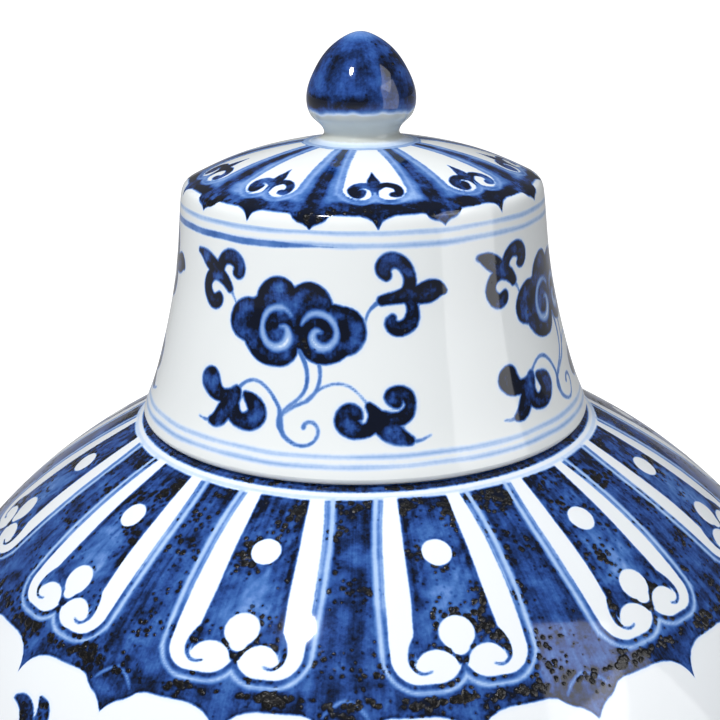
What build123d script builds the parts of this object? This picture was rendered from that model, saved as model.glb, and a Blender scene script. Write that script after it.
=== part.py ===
"""Porcelain ginger jar with a tall bell-shaped cover, standing on its foot ring.

Everything is turned about +Z. The origin is the centre of the foot's footprint, on the surface
that the jar stands on. Units are millimetres. The jar is thrown in sections that are luted
together, and the cover is a bell with a locating collar inside and a bud finial on top.
"""
from build123d import *
import os

# Heights of the jar's joints, measured up from the foot
FOOT_TOP = 12.0
BASE_TOP = 118.0
SHOULDER_BOTTOM = 216.0
SEAT_HEIGHT = 293.6

# Outside of the jar: radius and height of the points that its shape needs, from the top down
BELLY_RADIUS = 120.0
JAR_PROFILE = [
    (76.0, 281.3),
    (98.0, 263.2),
    (112.8, 243.5),
    (BELLY_RADIUS, SHOULDER_BOTTOM),
    (115.4, 178.0),
    (101.0, 122.0),
    (81.0, 58.0),
]
SHOULDER_SLOPE = (1, 0, -0.56)
FOOT_SLOPE = (-0.2, 0, -1)

# Flat seat for the cover, with a rounded edge
SEAT_RADIUS = 54.8
SEAT_ROUND = 2.7
SEAT_DROP = 1.25

# Foot ring
FOOT_RADIUS = 67.0
FOOT_FLARE = 1.4

# Wall of the jar
WALL = 6.5
FOOT_WALL = 9.5
FOOT_RECESS = 6.0
FOOT_BEVEL = 1.2

# Neck that the cover hides
NECK_BORE = 30.5
NECK_WALL = 5.0
NECK_HEIGHT = 27.0
NECK_BEAD = 1.8

# Cover, measured up from the underside of its lip
LID_GAP = 0.3
LIP_RADIUS = 56.0
LIP_ROUND = 1.7
LID_WALL = 4.2
CROWN_EDGE_RADIUS = 42.6
CROWN_EDGE_HEIGHT = 58.1
CROWN_TOP = 67.2
FINIAL_PAD_RADIUS = 12.6
COLLAR_OUTER = 27.8
COLLAR_WALL = 3.8
COLLAR_TOP = 59.8
COLLAR_BOTTOM = 11.0

# Bud finial, measured up from its own foot
BUD_RADIUS = 13.15
BUD_WIDEST = 4.3
BUD_HEIGHT = 25.6
WAIST_RADIUS = 9.1
WAIST_HEIGHT = 2.6


def turned(*outline):
    """A full turn about Z of the closed outline, drawn in the XZ plane with X as the radius."""
    return revolve(make_face(Wire(list(outline))), Axis.Z)


def at(radius, height):
    """A point of an outline."""
    return (radius, 0, height)


def slice_between(solid, low, high):
    """The part of a solid that lies between two heights."""
    reach = 4 * BELLY_RADIUS
    return solid & Pos(0, 0, (low + high) / 2) * Box(reach, reach, high - low)


def inset(profile, distance):
    """Each point of an outer profile moved into the wall, square to the line past its neighbours."""
    moved = []
    for index in range(1, len(profile) - 1):
        run = Vector(*profile[index + 1]) - Vector(*profile[index - 1])
        across = Vector(run.Y, -run.X) * (distance / run.length)
        moved.append((profile[index][0] + across.X, profile[index][1] + across.Y))
    return moved


def jar_wall():
    """The whole thrown wall, from the foot's top to the flat seat under the cover."""
    seat_edge = (SEAT_RADIUS, SEAT_HEIGHT)
    outside = [(SEAT_RADIUS + SEAT_ROUND, SEAT_HEIGHT - SEAT_DROP)]
    outside += JAR_PROFILE
    outside += [(FOOT_RADIUS + FOOT_FLARE, FOOT_TOP)]
    inner_seat = SEAT_HEIGHT - WALL
    inner_foot = FOOT_RADIUS + FOOT_FLARE - WALL
    inside = [(NECK_BORE, inner_seat), (SEAT_RADIUS - WALL / 2, inner_seat - SEAT_DROP / 2)]
    inside += inset(outside, WALL)
    inside += [(inner_foot, FOOT_TOP)]
    skin = Spline(*[at(*point) for point in outside], tangents=[SHOULDER_SLOPE, FOOT_SLOPE])
    lining = Spline(*[at(*point) for point in inside], tangents=[(1, 0, 0), FOOT_SLOPE])
    seat_edge_round = Spline(at(*seat_edge), at(*outside[0]), tangents=[(1, 0, 0), SHOULDER_SLOPE])
    return turned(
        Line(at(NECK_BORE, SEAT_HEIGHT), at(*seat_edge)),
        seat_edge_round,
        skin,
        Line(at(*outside[-1]), at(*inside[-1])),
        lining,
        Line(at(NECK_BORE, inner_seat), at(NECK_BORE, SEAT_HEIGHT)),
    )


def neck_collar():
    """A short straight neck with a rolled bead round its mouth."""
    outer = NECK_BORE + NECK_WALL
    top = SEAT_HEIGHT + NECK_HEIGHT
    bead_bottom = top - 4 * NECK_BEAD
    return turned(
        Line(at(NECK_BORE, SEAT_HEIGHT), at(outer, SEAT_HEIGHT)),
        Line(at(outer, SEAT_HEIGHT), at(outer, bead_bottom)),
        ThreePointArc(
            at(outer, bead_bottom),
            at(outer + NECK_BEAD, top - 2 * NECK_BEAD),
            at(outer, top),
        ),
        Line(at(outer, top), at(NECK_BORE, top)),
        Line(at(NECK_BORE, top), at(NECK_BORE, SEAT_HEIGHT)),
    )


def foot_ring():
    """The floor of the jar and the turned ring that it stands on, hollowed underneath."""
    outer = FOOT_RADIUS
    inner = FOOT_RADIUS - FOOT_WALL
    return turned(
        Line(at(0, FOOT_TOP), at(outer + FOOT_FLARE, FOOT_TOP)),
        ThreePointArc(
            at(outer + FOOT_FLARE, FOOT_TOP),
            at(outer + 0.3, FOOT_TOP / 2),
            at(outer, FOOT_BEVEL),
        ),
        Line(at(outer, FOOT_BEVEL), at(outer - FOOT_BEVEL, 0)),
        Line(at(outer - FOOT_BEVEL, 0), at(inner + FOOT_BEVEL, 0)),
        Line(at(inner + FOOT_BEVEL, 0), at(inner, FOOT_BEVEL)),
        Line(at(inner, FOOT_BEVEL), at(inner - 1.0, FOOT_RECESS)),
        Line(at(inner - 1.0, FOOT_RECESS), at(0, FOOT_RECESS)),
        Line(at(0, FOOT_RECESS), at(0, FOOT_TOP)),
    )


def lid_bell(base):
    """The cover: a flared wall with a rounded lip, a rounded shoulder and a low domed crown."""
    wall_top = CROWN_EDGE_HEIGHT - 6.6
    lip_inner = LIP_RADIUS - LIP_ROUND - LID_WALL
    lip = ThreePointArc(
        at(LIP_RADIUS - LIP_ROUND, base),
        at(LIP_RADIUS - 0.293 * LIP_ROUND, base + 0.293 * LIP_ROUND),
        at(LIP_RADIUS, base + LIP_ROUND),
    )
    wall = Spline(
        at(LIP_RADIUS, base + LIP_ROUND),
        at(54.3, base + 6.1),
        at(50.95, base + 16.1),
        at(48.35, base + 26.1),
        at(46.3, base + 36.1),
        at(44.5, base + wall_top),
        tangents=[(-0.28, 0, 1), (-0.10, 0, 1)],
    )
    shoulder = Spline(
        at(44.5, base + wall_top),
        at(44.1, base + wall_top + 3.4),
        at(CROWN_EDGE_RADIUS, base + CROWN_EDGE_HEIGHT),
        tangents=[(-0.10, 0, 1), (-1, 0, 0.5)],
    )
    crown = Spline(
        at(CROWN_EDGE_RADIUS, base + CROWN_EDGE_HEIGHT),
        at(32.0, base + 62.8),
        at(22.0, base + 65.6),
        at(FINIAL_PAD_RADIUS, base + CROWN_TOP),
        tangents=[(-1, 0, 0.5), (-1, 0, 0.1)],
    )
    inside_wall = Spline(
        at(40.0, base + wall_top + 0.5),
        at(41.9, base + 36.1),
        at(44.0, base + 26.1),
        at(46.7, base + 16.1),
        at(49.2, base + 6.5),
        at(lip_inner, base),
    )
    return turned(
        lip,
        wall,
        shoulder,
        crown,
        Line(at(FINIAL_PAD_RADIUS, base + CROWN_TOP), at(0, base + CROWN_TOP)),
        Line(at(0, base + CROWN_TOP), at(0, base + COLLAR_TOP + 2.6)),
        ThreePointArc(
            at(0, base + COLLAR_TOP + 2.6),
            at(12.0, base + COLLAR_TOP + 2.0),
            at(COLLAR_OUTER - COLLAR_WALL, base + COLLAR_TOP),
        ),
        Line(at(COLLAR_OUTER - COLLAR_WALL, base + COLLAR_TOP), at(COLLAR_OUTER, base + COLLAR_TOP)),
        Line(at(COLLAR_OUTER, base + COLLAR_TOP), at(37.0, base + 56.2)),
        ThreePointArc(
            at(37.0, base + 56.2),
            at(39.4, base + 54.5),
            at(40.0, base + wall_top + 0.5),
        ),
        inside_wall,
        Line(at(lip_inner, base), at(LIP_RADIUS - LIP_ROUND, base)),
    )


def lid_locating_collar(base):
    """A plain tube under the crown that drops into the neck and keeps the cover central."""
    height = COLLAR_TOP - COLLAR_BOTTOM
    tube = Cylinder(COLLAR_OUTER, height) - Cylinder(COLLAR_OUTER - COLLAR_WALL, height)
    tube = Pos(0, 0, base + (COLLAR_TOP + COLLAR_BOTTOM) / 2) * tube
    lower_rim = tube.edges().group_by(Axis.Z)[0]
    return fillet(lower_rim, 1.2)


def bud_finial(base):
    """A lotus bud on a short waist with a small spread foot."""
    bud = Spline(
        at(0, base + BUD_HEIGHT),
        at(3.6, base + BUD_HEIGHT - 1.05),
        at(8.6, base + 20.6),
        at(11.4, base + 16.2),
        at(BUD_RADIUS, base + 10.6),
        at(11.9, base + 5.8),
        at(WAIST_RADIUS + 0.5, base + WAIST_HEIGHT + 0.9),
        at(WAIST_RADIUS, base + WAIST_HEIGHT - 0.5),
        at(FINIAL_PAD_RADIUS - 0.3, base),
        tangents=[(1, 0, 0), (1, 0, -0.22)],
    )
    return turned(
        bud,
        Line(at(FINIAL_PAD_RADIUS - 0.3, base), at(0, base)),
        Line(at(0, base), at(0, base + BUD_HEIGHT)),
    )


def write_parts():
    """Build every piece in place and write one STEP file for each."""
    wall = jar_wall()
    lid_base = SEAT_HEIGHT + LID_GAP
    pieces = {
        "foot_ring": foot_ring(),
        "base_section": slice_between(wall, FOOT_TOP - 1, BASE_TOP),
        "belly_section": slice_between(wall, BASE_TOP, SHOULDER_BOTTOM),
        "shoulder_section": slice_between(wall, SHOULDER_BOTTOM, SEAT_HEIGHT + 1),
        "neck_collar": neck_collar(),
        "lid_bell": lid_bell(lid_base),
        "lid_locating_collar": lid_locating_collar(lid_base),
        "bud_finial": bud_finial(lid_base + CROWN_TOP),
    }
    os.makedirs("parts", exist_ok=True)
    for name, piece in pieces.items():
        export_step(piece, f"parts/{name}.step")


write_parts()
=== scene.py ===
import math

import bpy
import numpy as np
from mathutils import Matrix, Quaternion, Vector


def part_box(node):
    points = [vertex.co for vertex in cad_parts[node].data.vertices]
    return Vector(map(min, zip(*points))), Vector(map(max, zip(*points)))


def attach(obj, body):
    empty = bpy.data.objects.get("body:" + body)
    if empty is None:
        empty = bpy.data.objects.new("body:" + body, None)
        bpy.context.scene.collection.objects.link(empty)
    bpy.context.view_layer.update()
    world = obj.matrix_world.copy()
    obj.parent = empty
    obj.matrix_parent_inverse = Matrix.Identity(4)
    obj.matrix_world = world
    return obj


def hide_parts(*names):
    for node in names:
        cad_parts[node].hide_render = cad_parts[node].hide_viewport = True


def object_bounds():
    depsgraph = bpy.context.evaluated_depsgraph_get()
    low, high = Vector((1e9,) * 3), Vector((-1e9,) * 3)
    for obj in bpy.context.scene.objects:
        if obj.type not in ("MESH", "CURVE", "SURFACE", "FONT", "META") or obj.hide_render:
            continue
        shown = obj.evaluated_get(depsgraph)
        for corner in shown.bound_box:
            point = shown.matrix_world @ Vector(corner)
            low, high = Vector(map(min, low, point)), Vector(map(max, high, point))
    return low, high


# A porcelain ginger jar with a bell cover, painted in cobalt blue under a clear glaze.
# Every piece is turned about Z. Lengths are in millimetres until a mesh is made. Painted
# surfaces carry the brushwork as distances from the edges of brush strokes, in millimetres,
# so that the material can give each stroke a soft wet edge.

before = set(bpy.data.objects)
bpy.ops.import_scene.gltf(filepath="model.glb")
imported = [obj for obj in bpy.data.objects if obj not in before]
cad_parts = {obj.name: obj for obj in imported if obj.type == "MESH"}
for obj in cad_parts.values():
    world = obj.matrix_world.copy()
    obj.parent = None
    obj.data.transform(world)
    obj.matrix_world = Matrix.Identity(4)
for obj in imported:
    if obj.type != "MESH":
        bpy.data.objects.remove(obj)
cad_low, cad_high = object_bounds()

MM = 0.001
REACH = 3.0  # mm from a stroke's edge at which its stored distance stops growing
FLOW_SQUEEZE = 0.12  # streaks of the brush are this share as wide as they are long
SHARP = math.radians(20)  # faces that meet at more than this show an edge
BATCH = 20000  # points of a surface measured against a stroke at a time, to save memory

# Heights that the frame gives, in mm above the foot
lid_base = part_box("lid_bell")[0].z / MM
finial_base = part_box("bud_finial")[0].z / MM
seat_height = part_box("neck_collar")[0].z / MM
neck_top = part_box("neck_collar")[1].z / MM
shoulder_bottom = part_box("shoulder_section")[0].z / MM
base_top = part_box("base_section")[1].z / MM
foot_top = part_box("foot_ring")[1].z / MM
collar_low, collar_high = (corner.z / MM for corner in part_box("lid_locating_collar"))
top_height = cad_high.z / MM

# The plane of the lid's upper foot line, from which the wall's brushwork is measured
LID_LINE = lid_base + 6.1


# ---------------------------------------------------------------- lines and surfaces


def smooth(points, start=None, end=None, step=0.5):
    """Evenly spaced points of a smooth line through the given ones.

    Each span is a cubic in chord length, and neighbouring cubics share slope and curvature
    where they meet. An end follows the direction given for it, or is left straight.
    """
    knots = np.asarray(points, float)
    span = np.linalg.norm(np.diff(knots[:, :2], axis=0), axis=1)
    count = len(knots)
    system = np.zeros((count, count))
    wanted = np.zeros_like(knots)
    mid = np.arange(1, count - 1)
    before, after = span[mid - 1], span[mid]
    system[mid, mid - 1] = after
    system[mid, mid] = 2 * (before + after)
    system[mid, mid + 1] = before
    rise_in = (knots[mid] - knots[mid - 1]) * (after / before)[:, None]
    rise_out = (knots[mid + 1] - knots[mid]) * (before / after)[:, None]
    wanted[mid] = 3 * (rise_in + rise_out)
    for row, other, run, heading in ((0, 1, span[0], start), (-1, -2, span[-1], end)):
        if heading is None:
            system[row, row], system[row, other] = 2, 1
            low, high = (row, other) if row == 0 else (other, row)
            wanted[row] = 3 * (knots[high] - knots[low]) / run
        else:
            system[row, row] = 1
            wanted[row, :2] = np.asarray(heading, float) / np.hypot(*heading)
    slope = np.linalg.solve(system, wanted)
    along = np.concatenate([[0], np.cumsum(span)])
    fine = np.linspace(0, along[-1], max(8, int(4 * along[-1] / step)))
    piece = np.clip(np.searchsorted(along, fine, "right") - 1, 0, count - 2)
    t = ((fine - along[piece]) / span[piece])[:, None]
    width = span[piece][:, None]
    line = (
        knots[piece] * (1 + 2 * t) * (1 - t) ** 2
        + slope[piece] * width * t * (1 - t) ** 2
        + knots[piece + 1] * t * t * (3 - 2 * t)
        + slope[piece + 1] * width * t * t * (t - 1)
    )
    return even(line, step)


def even(line, step):
    """The same line with its points a step apart, found by interpolating along its length."""
    length = np.concatenate([[0], np.cumsum(np.linalg.norm(np.diff(line[:, :2], axis=0), axis=1))])
    stops = np.linspace(0, length[-1], max(2, int(round(length[-1] / step)) + 1))
    return np.stack([np.interp(stops, length, column) for column in line.T], axis=1)


def joined(*lines):
    """One outline from several lines, without repeating the points where they meet."""
    parts = [np.asarray(lines[0], float)]
    for line in lines[1:]:
        line = np.asarray(line, float)
        same = np.allclose(parts[-1][-1], line[0], atol=1e-6)
        parts.append(line[1:] if same else line)
    return np.concatenate(parts)


def arc_length(outline):
    """Distance along an outline from its first point to each of its points."""
    steps = np.linalg.norm(np.diff(outline, axis=0), axis=1)
    return np.concatenate([[0], np.cumsum(steps)])


def turned(name, outline, columns, brushwork=None, flow_radius=85.0):
    """A surface of revolution about Z.

    Point (radius, height) of the outline goes to (radius cos t, radius sin t, height) for
    equally spaced turns t. A point on the axis is one vertex with a fan of triangles, and any
    other outline closes on itself. The outline goes up the outside and down the inside, so
    that every face looks outwards. brushwork gives stroke distances for the painted rows.
    """
    outline = np.asarray(outline, float)
    poles = outline[0, 0] < 1e-6 and outline[-1, 0] < 1e-6
    rows = outline[1:-1] if poles else outline
    turn = 2 * np.pi * np.arange(columns) / columns - np.pi / 2
    across, up = np.broadcast_arrays(rows[:, :1], rows[:, 1:])
    points = np.stack([across * np.cos(turn), across * np.sin(turn), up + 0 * turn], axis=-1)
    count = len(rows)
    ring = np.arange(columns)
    beside = (ring + 1) % columns
    lower = np.arange(count - 1 if poles else count)
    upper = (lower + 1) % count
    quads = np.stack(
        [
            lower[:, None] * columns + ring,
            lower[:, None] * columns + beside,
            upper[:, None] * columns + beside,
            upper[:, None] * columns + ring,
        ],
        axis=-1,
    ).reshape(-1, 4)
    vertices = points.reshape(-1, 3)
    faces = quads.tolist()
    if poles:
        ends = np.array([[0, 0, outline[0, 1]], [0, 0, outline[-1, 1]]])
        first, last = len(vertices), len(vertices) + 1
        top = (count - 1) * columns
        vertices = np.concatenate([vertices, ends])
        faces += np.stack([ring, np.full(columns, first), beside], axis=1).tolist()
        faces += np.stack([top + ring, top + beside, np.full(columns, last)], axis=1).tolist()
    mesh = bpy.data.meshes.new(name)
    mesh.from_pydata(vertices * MM, [], faces)
    mesh.validate()
    mesh.shade_smooth()
    mesh.set_sharp_from_angle(angle=SHARP)
    if brushwork is not None:
        store(mesh, rows, turn, brushwork, len(vertices), flow_radius)
    piece = bpy.data.objects.new(name, mesh)
    bpy.context.scene.collection.objects.link(piece)
    return piece


def store(mesh, rows, turn, brushwork, total, flow_radius):
    """Write the brushwork of every vertex into the mesh as attributes.

    A stroke distance d becomes 0.5 + d / (2 REACH), so that 0.5 is the stroke's edge and 0,
    which is also what an unpainted vertex has, is well outside it. The flow attribute is a
    place on a drum of flow_radius whose height is a share of the distance down the wall, so
    that noise read from it is drawn out along the brush's radial strokes.
    """
    degrees = np.degrees(turn + np.pi / 2)
    degrees = (degrees + 180) % 360 - 180
    radius, height = rows[:, 0], rows[:, 1]
    layers = brushwork(degrees[None, :], radius[:, None], height[:, None])
    grid = (len(rows), len(turn))
    for label, names in (("brush", ("wash", "pale", "line")), ("keep", ("white", "spots", "tone"))):
        values = np.zeros((total, 3), np.float32)
        for place, layer in enumerate(names):
            field = np.broadcast_to(layers[layer], grid).reshape(-1)
            if layer not in ("spots", "tone"):
                field = np.clip(0.5 + field / (2 * REACH), 0, 1)
            values[: len(field), place] = field
        attribute = mesh.attributes.new(label, "FLOAT_VECTOR", "POINT")
        attribute.data.foreach_set("vector", values.reshape(-1))
    travel = (np.hypot(radius, height) * FLOW_SQUEEZE)[:, None]
    flow = np.zeros((total, 3), np.float32)
    flow[: grid[0] * grid[1]] = np.stack(
        np.broadcast_arrays(flow_radius * np.cos(turn), flow_radius * np.sin(turn), travel),
        axis=-1,
    ).reshape(-1, 3)
    attribute = mesh.attributes.new("flow", "FLOAT_VECTOR", "POINT")
    attribute.data.foreach_set("vector", (flow * MM).reshape(-1))


# ---------------------------------------------------------------- outlines


# Outside of the jar: radius and height of the points its shape needs, from the top down
SEAT_EDGE = (54.8, seat_height)
JAR_PROFILE = [
    (57.5, seat_height - 1.25), (76.0, 281.3), (98.0, 263.2), (112.8, 243.5), (120.0, 216.0),
    (115.4, 178.0), (101.0, 122.0), (81.0, 58.0), (68.4, foot_top),
]
SHOULDER_SLOPE = (1, -0.56)
FOOT_SLOPE = (-0.2, -1)
WALL = 6.5
NECK_BORE, NECK_WALL, NECK_BEAD = 30.5, 5.0, 1.8
FOOT_RADIUS, FOOT_WALL, FOOT_BEVEL, FOOT_RECESS = 67.0, 9.5, 1.2, 6.0
LIP_RADIUS, LIP_ROUND = 56.0, 1.7
LID_SPLIT_HEIGHT = lid_base + 54.4
LID_COLUMNS = 720


def jar_outside(step):
    """The jar's outside from the seat's edge to the foot's top, as evenly spaced points."""
    edge = smooth([SEAT_EDGE, JAR_PROFILE[0]], start=(1, 0), end=SHOULDER_SLOPE, step=step)
    return joined(edge, smooth(JAR_PROFILE, start=SHOULDER_SLOPE, end=FOOT_SLOPE, step=step))


def between_heights(line, high, low):
    """The stretch of a falling line between two heights, with its ends cut exactly there."""
    ends = np.interp([-high, -low], -line[:, 1], line[:, 0])
    inside = line[(line[:, 1] < high - 0.05) & (line[:, 1] > low + 0.05)]
    return np.concatenate([[[ends[0], high]], inside, [[ends[1], low]]])


jar_line = jar_outside(0.4)
jar_travel = arc_length(jar_line)


# ---------------------------------------------------------------- brushwork


def folded(degrees, pitch, centre):
    """Angle from the nearest of the equally spaced centre lines, in degrees."""
    return (degrees - centre + pitch / 2) % pitch - pitch / 2


def wander(degrees, height, size, seed):
    """Slow drift of a painter's hand, in mm: waves round the pot that lean with height."""
    t = np.radians(degrees)
    return size * (
        np.sin(3 * t + seed + height / 31)
        + 0.8 * np.sin(7 * t - 1.7 * seed + height / 17)
        + 0.6 * np.sin(13 * t + 2.3 * seed - height / 11)
        + 0.4 * np.sin(23 * t - 0.9 * seed + height / 7)
    )


def dab(depth, x, y, points, step=0.3, fuller=0.0):
    """Lay one brush stroke on a depth field, in place.

    A point of the stroke is (x, y, half-width), and the stroke is a disc carried along the
    smooth path through its points. The depth at (x, y) is the largest of half-width less
    distance, over the path, so it is positive inside the stroke. A fuller brush adds the same
    to every half-width.
    """
    path = smooth(points, step=step) + (0, 0, fuller)
    margin = REACH + path[:, 2].max()
    low, high = path[:, :2].min(0) - margin, path[:, :2].max(0) + margin
    rows, columns = np.nonzero((x > low[0]) & (x < high[0]) & (y > low[1]) & (y < high[1]))
    for part in range(0, len(rows), BATCH):
        row, column = rows[part : part + BATCH], columns[part : part + BATCH]
        away_x = x[row, column][:, None] - path[:, 0]
        away_y = y[row, column][:, None] - path[:, 1]
        inside = (path[:, 2] - np.hypot(away_x, away_y)).max(1)
        depth[row, column] = np.maximum(depth[row, column], inside)


def disc(x, y, centre_x, centre_y, radius):
    """Depth inside a disc: its radius less the distance from its centre."""
    return radius - np.hypot(x - centre_x, y - centre_y)


def bare(shape):
    """Layers with nothing painted on them."""
    layers = {name: np.full(shape, -REACH) for name in ("wash", "pale", "line", "white")}
    layers["spots"] = np.zeros(shape)
    layers["tone"] = np.full(shape, 0.8)
    return layers


# One spray of the lid's wall. x is mm round a drum of SPRAY_DRUM radius from the jar's front,
# y is mm above the lid's upper foot line, and the third number is the brush's half-width in mm.
SPRAY_DRUM = 48.0
SPRAY_CENTRE = -14.0
SPRAY_PITCH = 90.0
SPRAY_FLOWER = [
    [(-29.4, 27.3, 4.1), (-28.4, 27.7, 4.8), (-27.0, 27.0, 4.6)],
    [(-21.6, 32.6, 4.4), (-20.4, 33.0, 4.7), (-19.2, 32.2, 4.5)],
    [(-13.3, 31.6, 4.7), (-12.4, 32.0, 4.8), (-11.8, 30.8, 4.6)],
    [(-5.6, 26.8, 4.6), (-4.6, 26.7, 5.0), (-4.3, 25.8, 4.4)],
    [(-26.4, 23.9, 2.6), (-22.0, 23.0, 4.4), (-19.4, 22.8, 4.3)],
    [(-10.4, 23.9, 4.0), (-8.0, 24.3, 4.6), (-6.2, 24.4, 3.6)],
    [(-26.0, 27.6, 5.0), (-19.0, 28.5, 5.4), (-14.0, 27.6, 5.0), (-7.0, 27.5, 4.8)],
]
SPRAY_LOBES = [(-28.7, 27.3, 4.9), (-20.8, 33.0, 4.8), (-12.6, 31.9, 5.0), (-4.6, 26.7, 5.1),
               (-20.5, 22.9, 5.2), (-8.3, 24.0, 5.1)]
SPRAY_SPIRALS = [
    [(-16.8, 29.6, 0.30), (-18.4, 30.8, 0.50), (-20.8, 31.0, 0.65), (-23.2, 29.7, 0.72),
     (-24.2, 27.3, 0.75), (-23.8, 24.7, 0.80), (-22.2, 22.9, 0.90), (-19.9, 22.4, 1.05),
     (-18.0, 23.4, 1.15), (-17.4, 25.3, 0.95), (-18.2, 26.9, 0.60), (-19.5, 26.9, 0.30)],
    [(-14.2, 27.8, 0.30), (-13.2, 29.3, 0.55), (-11.3, 30.3, 0.70), (-8.9, 29.9, 0.75),
     (-7.0, 28.3, 0.75), (-6.3, 26.2, 0.75), (-7.0, 24.1, 0.85), (-8.8, 23.0, 0.95),
     (-10.8, 23.6, 1.05), (-11.7, 25.2, 0.95), (-10.9, 26.6, 0.65), (-9.6, 26.3, 0.35)],
]
SPRAY_STEMS = [
    [(-14.9, 22.6, 0.60), (-13.4, 20.0, 0.55), (-12.6, 16.8, 0.50), (-13.2, 13.6, 0.42),
     (-15.0, 11.4, 0.42), (-17.3, 9.2, 0.45), (-18.3, 7.0, 0.50)],
    [(-10.0, 19.6, 0.50), (-9.7, 17.0, 0.45), (-10.4, 14.2, 0.42), (-12.4, 11.7, 0.42),
     (-15.3, 10.2, 0.42), (-17.2, 8.8, 0.45)],
    [(-17.4, 4.6, 0.45), (-18.1, 6.3, 0.80), (-18.2, 8.5, 0.55), (-19.6, 11.3, 0.42),
     (-22.2, 13.8, 0.42), (-25.2, 14.7, 0.42), (-28.0, 13.4, 0.45), (-29.8, 11.4, 0.70)],
    [(-18.2, 6.6, 0.65), (-17.2, 4.2, 0.55), (-15.2, 2.6, 0.42), (-12.7, 2.1, 0.38),
     (-10.6, 3.2, 0.36), (-9.8, 5.2, 0.42), (-10.9, 7.0, 0.42), (-12.6, 6.9, 0.45),
     (-13.0, 6.0, 0.55)],
    [(-12.6, 11.8, 0.35), (-10.6, 13.6, 0.34), (-8.0, 15.0, 0.30), (-5.0, 15.3, 0.30),
     (-2.0, 13.8, 0.30), (0.2, 11.4, 0.36), (1.2, 10.2, 0.55)],
    [(-32.0, 30.0, 0.30), (-33.2, 32.0, 0.34), (-34.8, 33.8, 0.70)],
    [(0.2, 27.6, 0.30), (0.6, 29.8, 0.36), (2.0, 31.8, 0.46), (4.2, 33.2, 0.80)],
    [(-35.0, 4.1, 0.55), (-36.8, 3.9, 0.36), (-38.8, 4.2, 0.22)],
    [(8.6, 3.1, 0.70), (10.6, 2.9, 0.38), (13.0, 3.8, 0.22)],
]
SPRAY_LEAVES = [
    [(-29.6, 11.4, 1.1), (-30.3, 9.6, 1.7), (-31.4, 8.2, 1.3)],
    [(-30.6, 10.4, 1.3), (-33.5, 10.1, 1.2), (-36.0, 11.3, 2.0), (-37.3, 12.8, 2.5)],
    [(-31.0, 9.0, 1.2), (-32.0, 6.8, 1.7), (-33.2, 4.8, 1.5), (-35.2, 4.1, 0.5)],
    [(-30.0, 8.6, 1.4), (-29.0, 6.3, 1.4), (-26.8, 5.4, 1.4), (-24.6, 6.2, 1.9),
     (-23.6, 7.8, 2.0), (-24.5, 9.6, 1.6), (-26.3, 10.8, 0.8), (-27.1, 11.3, 0.35)],
    [(2.2, 8.6, 1.2), (1.2, 6.2, 1.1), (-0.8, 5.4, 1.2), (-3.0, 6.3, 1.9),
     (-4.0, 8.0, 2.0), (-2.9, 9.4, 1.5), (-1.7, 9.0, 0.9), (-1.2, 8.2, 0.4)],
    [(0.9, 10.6, 0.5), (2.0, 9.2, 1.0), (3.4, 7.0, 1.8), (5.2, 5.1, 2.0),
     (7.0, 3.9, 1.4), (8.8, 3.1, 0.7)],
    [(4.0, 8.0, 1.3), (6.4, 7.7, 1.2), (8.4, 8.6, 1.1), (9.3, 10.6, 0.8),
     (8.6, 12.7, 1.1), (6.9, 13.2, 1.3), (5.8, 12.5, 1.4), (6.6, 11.2, 0.9)],
    [(-34.6, 33.6, 0.7), (-36.4, 35.3, 1.1), (-38.3, 36.2, 1.4)],
    [(-38.5, 36.8, 1.2), (-41.0, 38.0, 1.5), (-43.5, 39.2, 1.4), (-45.5, 40.0, 0.8),
     (-47.2, 40.4, 0.3)],
    [(-38.2, 36.4, 1.2), (-37.7, 38.8, 1.1), (-35.8, 40.5, 1.3), (-33.3, 40.5, 1.5),
     (-31.7, 38.9, 1.5), (-32.0, 37.6, 1.2), (-33.0, 37.4, 0.5)],
    [(-38.3, 36.2, 1.2), (-41.0, 35.6, 1.2), (-42.5, 33.4, 1.2), (-41.6, 31.1, 1.2),
     (-39.5, 29.9, 1.3), (-38.1, 30.6, 1.2), (-37.9, 31.6, 0.4)],
    [(4.0, 33.1, 0.8), (6.5, 33.6, 1.0), (8.6, 34.0, 1.2), (10.3, 34.6, 1.4)],
    [(10.3, 34.8, 1.4), (10.9, 37.2, 1.2), (10.0, 40.2, 1.3), (7.6, 41.9, 1.4),
     (5.2, 41.3, 1.7), (4.5, 39.8, 1.5), (5.2, 38.7, 1.0)],
    [(10.8, 34.4, 1.5), (13.0, 34.3, 1.7), (15.3, 34.8, 2.1), (17.4, 35.2, 1.4),
     (19.0, 34.6, 0.4)],
    [(10.6, 34.0, 1.4), (11.2, 31.5, 1.1), (10.8, 28.8, 1.4), (9.2, 27.3, 1.3),
     (7.0, 27.1, 1.3), (6.0, 28.4, 1.0), (6.5, 29.4, 0.5)],
]

SPRAY_FULLER = 0.20  # mm added to the leaves' half-widths
SPRAY_LOADED = 0.15  # mm by which the wet wash spread past its strokes
SPIRAL_BARE = 0.92  # mm inside a spiral's edge, past which it is left white
# The spray on the right leans: its turn in degrees, the height it leans from, and mm per mm
LEAN_TURN, LEAN_FROM, LEAN = 73.0, 36.0, 0.18

# Rings round the lid's wall: mm above the foot line, half-width in mm
LID_RINGS = [(0.1, 0.40), (-1.95, 0.42), (45.1, 0.50), (47.8, 0.45)]


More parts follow.
